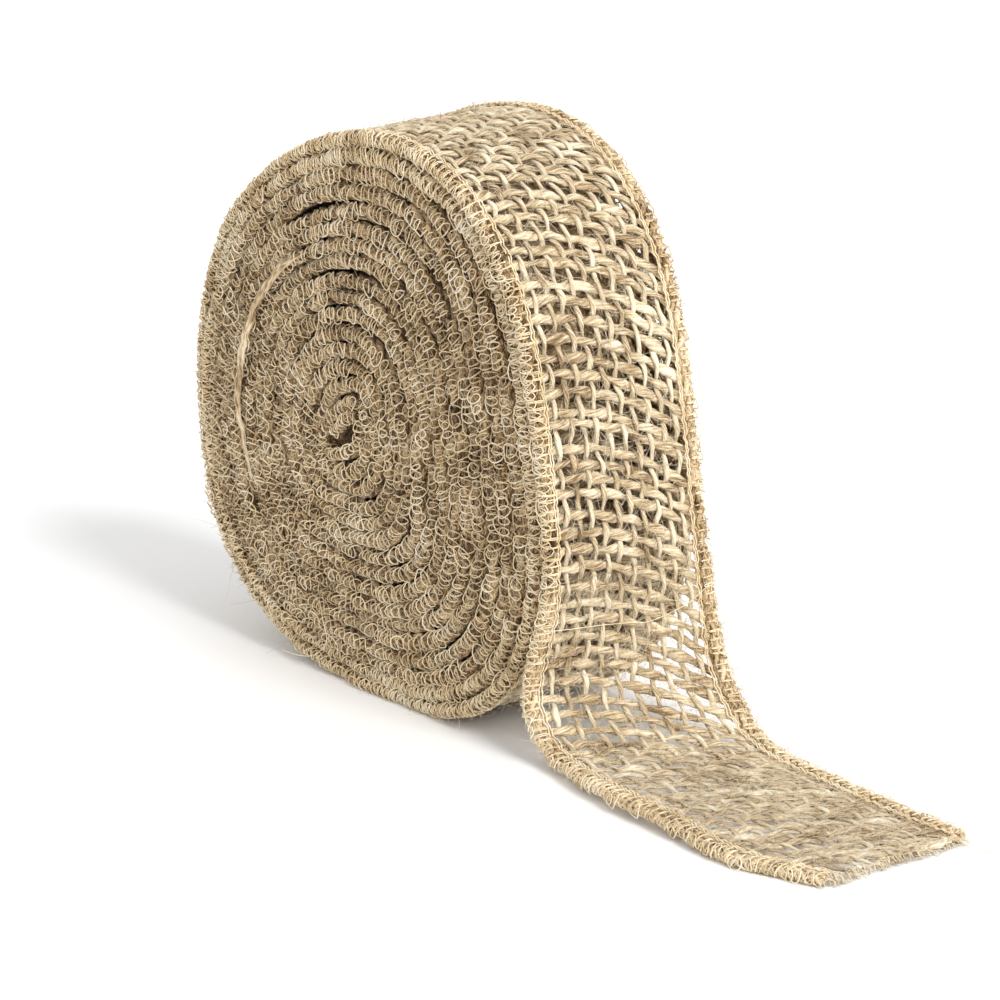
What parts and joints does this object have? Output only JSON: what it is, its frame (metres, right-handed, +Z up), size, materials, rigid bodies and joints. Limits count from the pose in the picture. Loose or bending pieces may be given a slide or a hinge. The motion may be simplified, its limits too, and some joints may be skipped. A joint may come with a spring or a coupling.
{
  "type": "rolled ribbon",
  "caption": "Roll of open-weave jute ribbon with overlocked edges, standing on its rim with a loose tail that lifts and curls.",
  "frame": {"origin": "on the floor under the axis of the roll, halfway across the ribbon's width, on the flat where the lowest wrap is pressed down", "axes": "+X the way the loose tail runs along the floor, Y the axis of the roll with the open spiral face at -Y, +Z up"},
  "size_m": [0.2549, 0.05, 0.1491],
  "materials": {
    "jute_weave": "matte",
    "jute_fringe": "matte",
    "overlock_near": "matte",
    "overlock_far": "matte"
  },
  "bodies": {
    "roll": {"roll_web": "jute_weave", "roll_near_selvedge": "overlock_near", "roll_far_selvedge": "overlock_far"},
    "drop": {"drop_web": "jute_weave", "drop_near_selvedge": "overlock_near", "drop_far_selvedge": "overlock_far"},
    "lay": {"lay_web": "jute_weave", "lay_near_selvedge": "overlock_near", "lay_far_selvedge": "overlock_far"},
    "tip": {"tip_web": "jute_weave", "tip_near_selvedge": "overlock_near", "tip_far_selvedge": "overlock_far", "tip_fringe": "jute_fringe"}
  },
  "joints": [
    {"name": "tail_peel", "type": "hinge", "parent": "roll", "child": "drop", "pos_m": [0.07018, 0, 0.03302], "axis": [0, -1, 0], "range_deg": [0, 60]},
    {"name": "tail_curl", "type": "hinge", "parent": "drop", "child": "lay", "pos_m": [0.10763, 0, 0.0017], "axis": [0, -1, 0], "range_deg": [0, 50]},
    {"name": "tip_curl", "type": "hinge", "parent": "lay", "child": "tip", "pos_m": [0.14763, 0, 0.0017], "axis": [0, -1, 0], "range_deg": [0, 40]}
  ]
}
